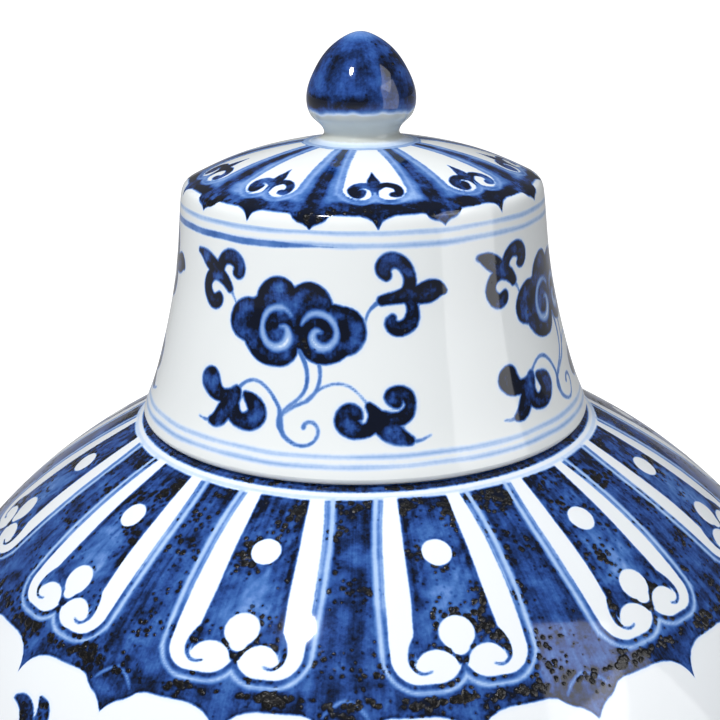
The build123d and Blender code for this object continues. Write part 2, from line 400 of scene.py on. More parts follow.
def lid_wall_brushwork(degrees, radius, height):
    """Four flower sprays between pale rings, unrolled on to a drum: x = turn times its radius."""
    y = height - LID_LINE + wander(degrees, height, 0.10, 1.0)
    turn = folded(degrees, SPRAY_PITCH, math.degrees(SPRAY_CENTRE / SPRAY_DRUM))
    x = np.radians(turn) * SPRAY_DRUM + SPRAY_CENTRE + wander(degrees, height, 0.16, 2.0)
    x = x + np.where(np.abs(degrees - LEAN_TURN) < SPRAY_PITCH / 2, LEAN * (LEAN_FROM - y), 0.0)
    layers = bare(x.shape)
    for points in SPRAY_FLOWER:
        dab(layers["wash"], x, y, points)
    for points in SPRAY_LEAVES:
        dab(layers["wash"], x, y, points, fuller=SPRAY_FULLER)
    for points in SPRAY_STEMS:
        dab(layers["line"], x, y, points)
    for points in SPRAY_SPIRALS:
        dab(layers["white"], x, y, points)
    for ring_height, half in LID_RINGS:
        uneven = wander(degrees, 0, 0.05, ring_height)
        layers["pale"] = np.maximum(layers["pale"], half + uneven - np.abs(y - ring_height))
    # The brush was freshly loaded for the third ring, so that its left stretch is dark and wide
    reloaded = 0.74 - 0.035 * np.clip(np.abs(folded(degrees, 360, -60)) - 34, 0, 99)
    layers["line"] = np.maximum(layers["line"], reloaded - np.abs(y - LID_RINGS[2][0] + 0.3))
    folds = np.zeros(x.shape)
    for lobe in SPRAY_LOBES:
        folds = np.maximum(folds, np.exp(-(((disc(x, y, *lobe) - 0.7) / 0.6) ** 2)))
    inner_glow = np.exp(-(((layers["wash"] - 2.2) / 1.1) ** 2))
    layers["tone"] = 1.03 + 0.06 * folds - 0.12 * inner_glow
    layers["wash"] = layers["wash"] + SPRAY_LOADED
    layers["spots"][:] = 0.30
    # The spirals are washed over pale blue, not left as bare white
    layers["pale"] = np.maximum(layers["pale"], layers["white"])
    layers["white"] = layers["white"] - SPIRAL_BARE
    return layers


def along_profile(points, radii, lengths):
    """Stroke points given as (degrees, radius, half-width) put into (mm across, mm along)."""
    points = np.asarray(points, float)
    across = np.radians(points[:, 0]) * points[:, 1]
    along = np.interp(points[:, 1], radii, lengths)
    return np.stack([across, along, points[:, 2]], axis=1)


# The crown: petals every CROWN_PITCH degrees. Points are (degrees from the petal's centre
# line, radius in mm, half-width in mm).
CROWN_PITCH = 40.0
CROWN_CENTRE = 4.5
CROWN_SPEAR = [(0, 27.8, 0.15), (0, 29.8, 0.65), (0, 31.6, 1.35), (0, 33.4, 1.45),
               (0, 35.4, 0.95), (0, 38.0, 0.90), (0, 40.0, 1.30)]
CROWN_CURLS = [
    [(1.2, 34.2, 1.00), (4.0, 33.2, 0.95), (7.0, 33.7, 0.95), (8.6, 35.2, 1.00),
     (7.8, 36.8, 1.10), (6.1, 36.8, 0.90)],
    [(-1.2, 34.2, 1.00), (-4.2, 33.3, 1.10), (-7.0, 34.1, 1.20), (-7.9, 35.8, 1.25),
     (-6.1, 36.9, 1.25), (-4.6, 35.7, 1.05)],
]
# Half the width of a petal: radius in mm, and degrees
PETAL_SPREAD = [(15, 9.5), (22, 11.2), (30, 11.6), (36, 11.6)]
PETAL_START, PETAL_END = 14.3, 35.5
# The round lobes at a petal's end: mm to the side, radius in mm, and the lobe's own radius
PETAL_LOBE = (3.62, 35.3, 3.55)
# Edge of the crown's dark band: degrees from a petal's centre line, and mm beyond its base line
CROWN_EDGE = [(0.0, 3.4), (0.4, 2.4), (1.0, 1.5), (2.0, 0.8), (3.5, 0.3), (5.0, 0.0), (13.4, 0.0),
              (14.3, 0.25), (14.9, 1.0), (16.2, 1.7), (18.0, 2.1), (19.2, 2.6), (20.0, 3.4)]
# The edge's base line is CROWN_BEYOND mm outside this radius, and CROWN_OVAL mm less at the
# sides than in front, because the band was painted a little oval
CROWN_BASE, CROWN_BEYOND, CROWN_OVAL = 42.55, 0.85, 1.5


def crown_brushwork(degrees, radius, height):
    """White petals with a trefoil in each, on a dark band that ends in cusps and lozenges.

    Across a petal x is angle times radius, and y is mm along the dome from its centre. A
    petal is a strip as wide as a share of the pitch, ending in two round lobes. Its outlines
    are lines of constant distance outside that shape.
    """
    rows = np.concatenate([radius, height], axis=1)
    inward_first = arc_length(rows)
    along = inward_first[-1] - inward_first
    radii, lengths = radius[::-1, 0], along[::-1]
    turn = folded(degrees + wander(degrees, 0, 0.25, 0.7), CROWN_PITCH, CROWN_CENTRE)
    x = np.radians(turn) * radius
    y = along[:, None] + wander(degrees, radius, 0.10, 3.1)
    layers = bare(x.shape)

    def level(at_radius):
        return np.interp(at_radius, radii, lengths)

    half = np.radians(np.interp(radius, *np.transpose(PETAL_SPREAD))) * radius
    strip = np.minimum(half - np.abs(x), level(PETAL_END) - y)
    strip = np.minimum(strip, y - level(PETAL_START))
    lobe = disc(np.abs(x), y, PETAL_LOBE[0], level(PETAL_LOBE[1]), PETAL_LOBE[2])
    petal = np.maximum(strip, lobe)
    trefoil = np.full(x.shape, -REACH)
    for points in [CROWN_SPEAR] + CROWN_CURLS:
        dab(trefoil, x, y, along_profile(points, radii, lengths))
    edge = level(CROWN_BASE) + CROWN_BEYOND + np.interp(np.abs(turn), *np.transpose(CROWN_EDGE))
    edge = edge - CROWN_OVAL * np.sin(np.radians(degrees)) ** 2
    band = np.minimum(y - level(13.9), edge - y)
    outline = 0.30 - np.abs(-petal - 1.30)
    outline = np.minimum(outline, level(41.2) - y)
    collar_wash = 0.75 - np.abs(y - level(13.2))
    layers["wash"] = band
    layers["white"] = np.minimum(petal, -trefoil)
    layers["pale"] = np.maximum(outline, collar_wash)
    core = np.interp(np.abs(turn), [10, 12.6, 14.6, 16.4, 18, 20], [0.5, 0.5, 0.55, 0.7, 0.97, 1.0])
    border = np.clip((y - level(38.6)) / 1.6, 0, 1)
    core = np.where(petal > 0, 0.93, core)
    layers["tone"] = core * (1 - border) + 0.99 * border
    layers["spots"] = 0.25 + 0.75 * np.clip((y - level(40.2)) / 0.8, 0, 1)
    return layers


# The shoulder: lappets every LAPPET_PITCH degrees. Points are (degrees from the lappet's
# centre line, radius in mm, half-width in mm).
LAPPET_PITCH = 30.0
LAPPET_CENTRE = -17.8
LAPPET_HOOK = [(5.2, 86.6, 1.00), (6.05, 88.3, 0.95), (6.5, 89.9, 0.74), (6.45, 91.2, 0.50),
               (5.9, 92.1, 0.36), (5.0, 92.5, 0.32), (4.1, 92.2, 0.22)]
# Edge of the lappets' band: degrees from a lappet's centre line, and radius in mm
LAPPET_EDGE = [(0.0, 103.2), (0.35, 101.8), (1.0, 100.6), (2.0, 99.6), (3.2, 99.0), (4.5, 98.7),
               (9.6, 98.7), (10.8, 99.1), (11.5, 99.9), (12.3, 100.6), (13.4, 101.2),
               (14.3, 102.1), (15.0, 103.2)]
LAPPET_VEIN = [(15.2, 96.3, 0.20), (14.0, 96.9, 0.30), (12.8, 98.0, 0.26), (12.2, 98.9, 0.10)]
# Inner and outer radius in mm of the two rings above the lappets, and where the lappets start
RING_NAVY = (54.6, 56.6)
RING_PALE = (57.75, 58.35)
LAPPET_TOP = 58.6
# Radius, and half the width there of a lappet and of the panel between its bars, all in mm
LAPPET_WIDTHS = [(58, 8.5, 5.4), (64, 10.2, 6.1), (70, 11.6, 6.9), (80, 13.4, 7.9),
                 (88, 14.4, 9.2), (92, 14.6, 9.6)]
PANEL_END = 91.6
# A lappet's sides stop at the radius LAPPET_END. Its two feet are rounds of FOOT_ROUND mm
# centred there, each drawn out sideways between the places in FOOT_SPREAD.
LAPPET_END, FOOT_ROUND, FOOT_SPREAD = 90.2, 5.25, (5.4, 9.3)
# The round head of each bar: mm to the side, radius in mm, and the head's own radius
BAR_HEAD = (5.35, 92.2, 4.45)
# White discs on a lappet's centre line, the last two as one drop: radius in mm, and their own
LAPPET_DISCS = [(71.2, 3.3), (86.5, 3.75), (88.7, 2.0)]


def shoulder_brushwork(degrees, radius, height):
    """Lappets with white bars that curl inwards, on a blue band with a scalloped edge.

    x is angle times radius and y is mm along the wall from the seat. A lappet is a strip
    that widens outwards and ends in two rounded feet. Its outlines are lines of constant
    distance outside it, and the white bars are the strip less the narrower panel inside it.
    """
    along = np.interp(-height, -jar_line[:, 1], jar_travel)
    widest = int(np.argmax(jar_line[:, 0]))
    radii, lengths = jar_line[:widest, 0], jar_travel[:widest]
    turn = folded(degrees + wander(degrees, 0, 0.16, 0.4), LAPPET_PITCH, LAPPET_CENTRE)
    lean = wander(degrees, radius, 0.16, 2.2)
    x = np.radians(turn) * radius + lean
    y = along + wander(degrees, radius, 0.20, 5.2)
    side = np.abs(x)
    layers = bare(x.shape)

    def level(at_radius):
        return np.interp(at_radius, radii, lengths)

    places, *halves = np.transpose(LAPPET_WIDTHS)
    outer, inner = (np.interp(radius, places, half) for half in halves)
    shaft = np.minimum(outer - side, level(LAPPET_END) - y)
    foot = FOOT_ROUND - np.hypot(side - np.clip(side, *FOOT_SPREAD), y - level(LAPPET_END))
    lappet = np.maximum(shaft, foot)
    panel_depth = np.minimum(inner - side, level(PANEL_END) - y)
    head = disc(side, y, BAR_HEAD[0], level(BAR_HEAD[1]), BAR_HEAD[2])
    bar = np.maximum(np.minimum(lappet, -panel_depth), np.minimum(head, lappet))
    hook = np.full(x.shape, -REACH)
    dab(hook, side, y, along_profile(LAPPET_HOOK, radii, lengths))
    seam = 0.36 - side
    bar = np.minimum(np.minimum(bar, -hook), -seam)
    bar = np.minimum(bar, y - level(LAPPET_TOP - 0.4))
    eyes = np.maximum.reduce([disc(x, y, 0, level(place), size) for place, size in LAPPET_DISCS])
    white = np.maximum(bar, eyes)

    edge = level(np.interp(np.abs(turn), *np.transpose(LAPPET_EDGE)))
    band = np.minimum(y - level(LAPPET_TOP), edge - y)
    veins = np.full(x.shape, -REACH)
    dab(veins, side, y, along_profile(LAPPET_VEIN, radii, lengths))

    outline = np.interp(radius, [80, 88, 95], [0.72, 0.62, 0.50]) - np.abs(-lappet - 1.70)
    outline = np.minimum(outline, y - level(LAPPET_TOP - 0.6))
    ring_navy = np.minimum(radius - RING_NAVY[0], RING_NAVY[1] - radius)
    ring_pale = np.minimum(radius - RING_PALE[0], RING_PALE[1] - radius)
    layers["wash"] = np.maximum(band, ring_navy)
    layers["white"] = white
    layers["pale"] = np.maximum(np.maximum(outline, veins), ring_pale)

    # Strength of the wash: a diluted line beside each white bar, dark upper corners and sides
    # of the panels, faint arcs of the brush and a paler pool low in them, a paler middle
    # between the lappets, and near black in the shade of the lid
    between = np.clip((-lappet - 1.6) / 1.0, 0, 1)
    border = np.clip((y - level(95.4)) / 1.5, 0, 1)
    upper = np.clip((level(86) - y) / 6, 0, 1)
    beside = np.exp(-(((-lappet - 0.35) / 0.42) ** 2)) * upper
    panel = np.clip(panel_depth / 0.6, 0, 1)
    sides = panel * np.exp(-(((panel_depth - 0.8) / 1.0) ** 2))
    top = np.exp(-np.abs(y - level(60.5)) / 4.5)
    centre = np.exp(-((side / 2.2) ** 2)) * between
    swirl = np.sin(x * 0.9 + 2.5 * np.sin(y * 0.42 + degrees)) * np.sin(y * 0.75 - 1.3)
    lower = np.clip((y - level(73)) / 8, 0, 1) * np.clip((level(87) - y) / 3, 0, 1)
    tone = 0.78 + 0.05 * between + 0.06 * border + 0.12 * sides + 0.12 * top - 0.10 * centre
    tone = tone + panel * (0.09 * swirl - 0.20 * lower * np.exp(-((side / 5.0) ** 2)))
    tone = tone - 0.42 * beside
    # Painted shadow: under the lid's lip the navy ring's wash is darkened to near black for the
    # lid's shade
    tone = np.where(radius < 57.5, np.interp(radius, [54.8, 56.0], [1.10, 0.90]), tone)
    layers["tone"] = tone
    near_eyes = np.exp(-np.abs(eyes + 0.5) / 0.7)
    near_feet = np.exp(-np.abs(bar + 0.4) / 0.6) * (y > level(87.0)) * (side < 11)
    near_top = np.exp(-np.abs(y - level(60.8)) / 2.2) * (side > 2.5)
    near_sides = sides + between * np.exp(-(((-lappet - 3.0) / 1.2) ** 2))
    clusters = 0.22 + 0.50 * near_eyes + 0.70 * near_feet + 0.55 * near_top + 0.25 * near_sides
    clusters = clusters + 0.80 * np.exp(-(((y - level(96.9)) / 1.2) ** 2))
    layers["spots"] = np.where(radius > 58, np.clip(clusters, 0, 1.2), -1.0)
    add_field(layers, degrees, radius, along, -1.2 - band)
    return layers


def body_brushwork(degrees, radius, height):
    """The scroll field and the foot border alone, for the jar's sections below the lappets."""
    along = np.interp(-height, -jar_line[:, 1], jar_travel)
    layers = bare(np.broadcast_shapes(degrees.shape, radius.shape))
    add_field(layers, degrees, radius, along)
    return layers


# The scroll field below the shoulder: rows of flowers as mm along the wall from the seat,
# turn of the row in degrees, and size of the flowers
FIELD_PITCH = 60.0
FIELD_CENTRE = -42.0
FLOWER_ROWS = [(105.0, 0.0, 1.02), (156.0, 30.0, 1.02), (204.0, 0.0, 0.86)]


def rotated(points, centre, angle, size=1.0, mirror=False):
    """Stroke points scaled, turned by an angle in degrees and moved to a centre."""
    points = np.asarray(points, float)
    flip = -1 if mirror else 1
    cos, sin = math.cos(math.radians(angle)), math.sin(math.radians(angle))
    across, up = points[:, 0] * flip * size, points[:, 1] * size
    turned_x = centre[0] + across * cos - up * sin
    turned_y = centre[1] + across * sin + up * cos
    return np.stack([turned_x, turned_y, points[:, 2] * size], axis=1)


# Parts of a flower and its scroll, each starting from its own root at (0, 0) and growing up y
PETAL = [(0.0, 6.5, 1.8), (0.0, 11.0, 3.7), (0.2, 15.0, 3.5), (0.8, 18.6, 1.6), (1.5, 20.8, 0.3)]
PETAL_VEIN = [(0.0, 9.0, 0.35), (0.1, 13.0, 0.80), (0.5, 17.0, 0.35)]
INNER_PETAL = [(0.0, 2.6, 1.3), (0.0, 5.6, 2.2), (0.0, 8.2, 1.0)]
LEAF = [
    [(0.0, 0.0, 0.9), (2.0, 3.5, 1.9), (5.4, 6.6, 2.3), (9.2, 6.8, 1.7), (11.6, 5.0, 0.5)],
    [(0.5, 1.0, 0.9), (-0.5, 5.0, 1.9), (0.6, 9.0, 2.3), (3.6, 11.6, 1.6), (6.2, 11.8, 0.4)],
    [(-0.2, 1.0, 0.9), (-3.4, 4.0, 1.8), (-5.2, 7.6, 2.1), (-4.6, 10.8, 1.3), (-2.8, 12.4, 0.3)],
]
SCROLL = [(46.0, 39.0, 0.70), (31.0, 40.0, 0.95), (14.0, 35.5, 1.05), (-4.0, 30.5, 1.10),
          (-21.0, 21.5, 1.10), (-29.5, 4.5, 1.05), (-25.5, -15.0, 1.00), (-10.5, -27.5, 1.00),
          (8.5, -28.0, 0.95), (23.5, -19.0, 0.90), (28.5, -3.5, 0.85), (25.0, 9.5, 0.80)]
SCROLL_RADIUS = 29  # mm from the flower's centre to its leaves' roots
# Places of the leaves on the scroll, in degrees round the flower, and their lean
SCROLL_LEAVES = [(28, 55), (66, -30), (118, 40), (158, -35), (196, 40), (236, -30), (268, 35),
                 (306, -35), (340, 40)]


def add_field(layers, degrees, radius, along, room=REACH):
    """Rows of lotus flowers, each in its own scroll, above a border of upright petals.

    Each cell is one pitch wide. x is angle times radius from the cell's centre line and y is
    mm along the wall from the seat. The field stops where room, the distance to the border
    above it, or the distance to the one below, comes to nothing.
    """
    y = along + wander(degrees, 0, 0.5, 4.0)
    low, high = y.min(), y.max()
    room = np.minimum(room, BORDER_RANGE[0] - 8.0 - y)
    field = bare(y.shape)
    for row_height, shift, size in FLOWER_ROWS:
        if low - 52 < row_height < high + 52:
            turn = folded(degrees, FIELD_PITCH, FIELD_CENTRE + shift)
            x = np.radians(turn) * radius + wander(degrees, along, 0.35, row_height)
            lotus(field, x, y, (0.0, row_height), size)
    for name in ("wash", "line", "white"):
        layers[name] = np.maximum(layers[name], np.minimum(field[name], room))
    layers["tone"] = np.where(room > 0, 0.86, layers["tone"])
    layers["spots"] = np.where(room > 0, 0.45, layers["spots"])
    foot_border(layers, degrees, radius, y)


def lotus(layers, x, y, centre, size):
    """A lotus seen from the front: nine pointed petals round a ring of short ones and a seed head.

    Its stem comes from the next row, runs once round the flower and bears the leaves.
    """
    whole = disc(x, y, *centre, 22 * size)
    petals = np.full(x.shape, -REACH)
    reserve = np.full(x.shape, -REACH)
    inner = disc(x, y, *centre, 1.7 * size)
    for angle in range(0, 360, 40):
        dab(petals, x, y, rotated(PETAL, centre, angle + 180, size, angle > 180))
        dab(reserve, x, y, rotated(PETAL_VEIN, centre, angle + 180, size, angle > 180))
    for angle in range(0, 360, 51):
        dab(inner, x, y, rotated(INNER_PETAL, centre, angle, size))
    heart = np.minimum(disc(x, y, *centre, 9.4 * size), -inner)
    white = np.where(whole > 0, np.maximum(reserve, heart), -REACH)
    layers["white"] = np.maximum(layers["white"], white)
    layers["wash"] = np.maximum(layers["wash"], np.maximum(petals, inner))
    dab(layers["line"], x, y, rotated(SCROLL, centre, 0, size))
    for angle, lean in SCROLL_LEAVES:
        around = math.radians(angle)
        reach = SCROLL_RADIUS * size
        root = (centre[0] + reach * math.cos(around), centre[1] + reach * math.sin(around))
        for points in LEAF:
            shape = rotated(points, root, angle - 90 + lean, 0.88 * size, lean < 0)
            dab(layers["wash"], x, y, shape)


BORDER_PITCH = 22.5
BORDER_RANGE = (236.0, 300.0)
UPRIGHT_SHOULDER, UPRIGHT_TIP = 30, 54  # mm up a petal where its rounding starts and ends
UPRIGHT = [(0.0, 0.0, 1.2), (0.0, 7.0, 1.9), (0.0, 15.0, 2.2), (0.0, 24.0, 1.5), (0.0, 31.0, 0.4)]


def foot_border(layers, degrees, radius, y):
    """Sixteen upright petals round the foot between double rings, outlined twice."""
    top, bottom = BORDER_RANGE
    if y.max() < top - 12:
        return
    turn = folded(degrees, BORDER_PITCH, 0.0)
    x = np.radians(turn) * radius
    up = bottom - 4 - y
    half = np.radians(BORDER_PITCH / 2) * radius - 1.6
    rounding = np.clip((up - UPRIGHT_SHOULDER) / (UPRIGHT_TIP - UPRIGHT_SHOULDER), 0, 1)
    shape = half * np.sqrt(1 - rounding**2) - np.abs(x)
    shape = np.minimum(np.minimum(shape, up + 0.5), UPRIGHT_TIP - up)
    spear = np.full(x.shape, -REACH)
    dab(spear, x, up, UPRIGHT)
    for side in (-1, 1):
        curl = [(side * 0.6, 18, 1.0), (side * 5.0, 21, 1.3), (side * 7.4, 26, 1.4),
                (side * 5.6, 29.6, 1.2), (side * 3.6, 28.0, 0.9)]
        dab(spear, x, up, curl)
    frame_band = np.minimum(np.minimum(shape, 2.2 - shape), 60 - up)
    ground = np.minimum(-shape - 0.2, np.minimum(up + 0.5, 44 - up))
    layers["wash"] = np.maximum(layers["wash"], np.maximum(frame_band, spear))
    layers["wash"] = np.maximum(layers["wash"], ground)
    rings = [(top - 6.0, 0.7), (top - 3.4, 0.5), (bottom - 1.2, 0.6), (bottom + 1.4, 0.9)]
    for ring_height, half_width in rings:
        ring = half_width - np.abs(y - ring_height)
        layers["line"] = np.maximum(layers["line"], ring)
    here = y > top - 1
    layers["tone"] = np.where(here, 0.78, layers["tone"])
    layers["spots"] = np.where(here, 0.5, layers["spots"])


def finial_brushwork(degrees, radius, height):
    """A bud washed in blue above a wavy line, white below it, with a pale wash at its foot."""
    y = height - finial_base
    edge = 8.0 + wander(degrees, 0, 0.20, 1.4)
    layers = bare(np.broadcast_shapes(degrees.shape, y.shape))
    layers["wash"] = y - edge
    layers["pale"] = 0.5 - y
    dip = np.exp(-((folded(degrees, 360, -40) / 46) ** 2)) * np.exp(-(((y - 10.2) / 1.9) ** 2))
    tone = np.interp(y, [8, 9.4, 11, 15, 20, 23.5, 25.6], [0.66, 0.84, 0.88, 0.84, 0.90, 0.82, 0.40])
    layers["tone"] = tone + 0.20 * dip
    layers["spots"] = 0.15 + 0.6 * dip
    return layers


# ---------------------------------------------------------------- pieces of the jar


def section(name, high, low, steps, columns, brushwork):
    """One stretch of the jar's wall: its outside, and its inside set in from it.

    steps are the spacings of the rows outside and inside, in mm.
    """
    outside = even(between_heights(jar_line, high, low), steps[0])
    inside = even(between_heights(jar_inside(), min(high, seat_height - WALL), low), steps[1])
    parts = [outside[::-1]]
    if high > seat_height - 0.01:
        parts.append(even(np.array([outside[0], [NECK_BORE, seat_height]]), steps[1]))
        parts.append([[NECK_BORE, seat_height - WALL / 2]])
    parts.append(inside)
    return turned(name, joined(*parts), columns, outside_only(brushwork, len(outside)))


def jar_inside():
    """The jar's inside from the neck's bore to the floor: the outside moved square into the wall."""
    outside = even(jar_line, 2.0)
    run = np.gradient(outside, axis=0)
    run /= np.linalg.norm(run, axis=1)[:, None]
    inside = outside + WALL * np.stack([run[:, 1], -run[:, 0]], axis=1)
    ceiling = seat_height - WALL
    start = np.array([[NECK_BORE, ceiling], [SEAT_EDGE[0] - WALL / 2, ceiling - 0.6]])
    falling = np.concatenate([start, inside[inside[:, 1] < ceiling - 1.2]])
    end = np.array([[JAR_PROFILE[-1][0] - WALL, foot_top - 0.01]])
    falling = np.concatenate([falling, end])
    keep = np.concatenate([[True], np.diff(falling[:, 1]) < 0])
    return falling[keep]


def outside_only(brushwork, count, first=0):
    """Brushwork on count rows of an outline, which are its outside, and none on the rest."""

    def painter(degrees, radius, height):
        rows = slice(first, first + count)
        painted = brushwork(degrees, radius[rows], height[rows])
        layers = bare((len(radius), degrees.shape[1]))
        for name, layer in painted.items():
            layers[name][rows] = layer
        return layers

    return painter


def arc(centre, radius, start, end, count=9):
    """Points of a circle's arc between two angles in degrees."""
    turn = np.radians(np.linspace(start, end, count))
    return np.stack([centre[0] + radius * np.cos(turn), centre[1] + radius * np.sin(turn)], axis=1)


def neck():
    """A short straight tube with a rolled bead round its mouth."""
    outer = NECK_BORE + NECK_WALL
    bead = 2 * NECK_BEAD
    swell = smooth(
        [
            (outer, neck_top - 2 * bead), (outer + 0.55 * NECK_BEAD, neck_top - 1.6 * bead),
            (outer + NECK_BEAD, neck_top - bead),
            (outer + 0.6 * NECK_BEAD, neck_top - 0.35 * bead), (outer - 0.5, neck_top),
        ],
        start=(0, 1),
        step=0.4,
    )
    outside = even(np.array([[outer, seat_height], [outer, neck_top - 2 * bead]]), 2.0)
    mouth = arc((NECK_BORE + 0.8, neck_top - 0.8), 0.8, 90, 180)
    bore = even(np.array([mouth[-1], [NECK_BORE, seat_height]]), 4.0)
    return turned("neck_with_bead", joined(outside, swell, mouth, bore), 200)


def foot():
    """The jar's floor and the ring it stands on, hollowed underneath, with bevelled edges."""
    inner = FOOT_RADIUS - FOOT_WALL
    bevel = FOOT_BEVEL
    underside = even(np.array([[0, FOOT_RECESS], [inner - 2.2, FOOT_RECESS]]), 6.0)
    cove = arc((inner - 2.2, FOOT_RECESS - 1.4), 1.4, 90, 20)
    inner_edge = arc((inner + bevel, bevel), bevel, 180, 270)
    outer_edge = arc((FOOT_RADIUS - bevel, bevel), bevel, 270, 360)
    flare = smooth(
        [(FOOT_RADIUS, bevel), (FOOT_RADIUS + 0.3, foot_top / 2), (JAR_PROFILE[-1][0], foot_top)],
        start=(0, 1),
        step=0.8,
    )
    floor = even(np.array([[JAR_PROFILE[-1][0], foot_top], [0, foot_top]]), 8.0)
    return turned("foot", joined(underside, cove, inner_edge, outer_edge, flare, floor), 360)


# ---------------------------------------------------------------- pieces of the lid


def lid_outside(step):
    """The cover's outside: the rounded lip, the flared wall, and the rounded edge and dome."""
    base = lid_base
    lip = arc((LIP_RADIUS - LIP_ROUND, base + LIP_ROUND), LIP_ROUND, -90, 0)
    wall = [(LIP_RADIUS, LIP_ROUND), (54.3, 6.1), (50.95, 16.1), (48.35, 26.1), (46.3, 36.1),
            (44.5, 51.5)]
    edge = [(44.5, 51.5), (44.1, 54.9), (42.6, 58.1)]
    dome = [(42.6, 58.1), (32.0, 62.8), (22.0, 65.6), (12.6, finial_base - base)]
    lines = []
    for points, start, end in (
        (wall, (-0.28, 1), (-0.10, 1)),
        (edge, (-0.10, 1), (-1, 0.5)),
        (dome, (-1, 0.5), (-1, 0.1)),
    ):
        raised = np.array(points) + [0, base]
        lines.append(smooth(raised, start=start, end=end, step=step))
    return joined(lip, lines[0]), joined(lines[1], lines[2])


def lid_pieces():
    """The bell in two pieces that meet at its rounded edge: the flared wall and the crown."""
    wall, over = lid_outside(0.50)
    cut = int(np.argmin(np.abs(over[:, 1] - LID_SPLIT_HEIGHT)))
    meeting = over[cut]
    inner_meeting = (39.9, meeting[1] - 1.4)
    inside = smooth(
        [
            inner_meeting,
            (41.9, lid_base + 36.1), (44.0, lid_base + 26.1), (46.7, lid_base + 16.1),
            (49.2, lid_base + 6.5), (LIP_RADIUS - LIP_ROUND - 4.2, lid_base),
        ],
        step=3.0,
    )
    outside = joined(wall, over[: cut + 1])
    lower = turned(
        "lid_wall",
        joined(outside, inside),
        LID_COLUMNS,
        outside_only(lid_wall_brushwork, len(outside)),
        flow_radius=45.0,
    )
    ceiling = joined(
        [[0, collar_high + 2.6], [6.0, collar_high + 2.5], [12.0, collar_high + 2.0]],
        [[18.0, collar_high + 1.1], [24.0, collar_high], [27.8, collar_high]],
        [[37.0, lid_base + 56.2], [39.2, lid_base + 54.7], inner_meeting],
    )
    dome = over[cut:]
    upper = turned(
        "lid_crown",
        joined(ceiling, dome, [[6.0, finial_base], [0.0, finial_base]]),
        LID_COLUMNS,
        outside_only(crown_brushwork, len(dome), first=len(ceiling) - 1),
        flow_radius=30.0,
    )
    return lower, upper


def locating_collar():
    """A plain tube under the crown, with its lower rim rounded."""
    outer, wall, rounding = 27.8, 3.8, 1.2
    low, high = collar_low + rounding, collar_high
    outside = even(np.array([[outer, low], [outer, high]]), 2.0)
    inside = even(np.array([[outer - wall, high], [outer - wall, low]]), 2.0)
    inner_rim = arc((outer - wall + rounding, low), rounding, 180, 270)
    outer_rim = arc((outer - rounding, low), rounding, 270, 360)
    return turned("locating_collar", joined(outside, inside, inner_rim, outer_rim)[:-1], 240)


def finial():
    """A lotus bud on a short waist with a small spread foot, from its foot up."""
    height = top_height - finial_base
    bud = smooth(
        [
            (0, height), (3.6, height - 1.05), (8.6, 20.6), (11.4, 16.2), (13.15, 10.6),
            (11.9, 5.8), (9.6, 3.5), (9.1, 2.1), (12.3, 0),
        ],
        start=(1, 0),
        end=(1, -0.22),
        step=0.3,
    )
    outline = joined([[0, 0], [6, 0]], bud[::-1]) + [0, finial_base]
    outline[-1, 0] = 0.0
    painter = outside_only(finial_brushwork, len(outline) - 3, first=1)
    return turned("bud", outline, 240, painter, flow_radius=11.0)


# ---------------------------------------------------------------- materials


def linear(colour):
    """An sRGB hex colour as linear red, green, blue and alpha 1."""
    parts = np.array([int(colour[place : place + 2], 16) for place in (1, 3, 5)]) / 255
    parts = np.where(parts <= 0.04045, parts / 12.92, ((parts + 0.055) / 1.055) ** 2.4)
    return (*parts.tolist(), 1.0)


def add(tree, kind, *inputs, out=0, **settings):
    """Add one node with its settings, and link or set its inputs in order, None skipping one.

    Returns the output socket numbered out, or all of them where out is None.
    """
    node = tree.nodes.new(kind)
    for name, value in settings.items():
        setattr(node, name, value)
    for socket, value in zip(node.inputs, inputs):
        if isinstance(value, bpy.types.NodeSocket):
            tree.links.new(value, socket)
        elif value is not None:
            socket.default_value = value
    return node.outputs if out is None else node.outputs[out]


MATH, NOISE = "ShaderNodeMath", "ShaderNodeTexNoise"
RANGE, MIX = "ShaderNodeMapRange", "ShaderNodeMix"
SKIPPED = (None,) * 5  # the mix node's sockets between its factor and its colours
COLOURS = {"out": 2, "data_type": "RGBA"}


def new_material(name, roughness, ior=1.5):
    """A material with one Principled shader, whose even values sit on its own sockets."""
    material = bpy.data.materials.new(name)
    material.use_nodes = True
    tree = material.node_tree
    shader = tree.nodes["Principled BSDF"]
    shader.inputs["Roughness"].default_value = roughness
    shader.inputs["IOR"].default_value = ior
    return material, tree, shader


def per(size):
    """A noise texture's scale for a pattern of that size in mm."""
    return 1 / (size * MM)


# Cobalt under glaze: share of pigment, and the colour it fires to
COBALT = [
    (0.08, "#DCE7F6"),
    (0.18, "#C0D5F1"),
    (0.28, "#A3C0E8"),
    (0.38, "#7DA0D6"),
    (0.50, "#5C83C4"),
    (0.60, "#4570B3"),
    (0.70, "#325A9E"),
    (0.79, "#25468A"),
    (0.87, "#183165"),
    (0.94, "#0F2043"),
    (1.00, "#0A1122"),
]
HALF = 1 / (2 * REACH)  # stored change for 1 mm of stroke distance


def within(tree, layer, ragged, softness):
    """How far a point is inside a layer's strokes, 0 to 1, over a soft edge given in mm."""
    shifted = add(tree, MATH, layer, ragged, operation="ADD")
    low, high = 0.5 - softness * HALF, 0.5 + softness * HALF
    return add(tree, RANGE, shifted, low, high, interpolation_type="SMOOTHSTEP")


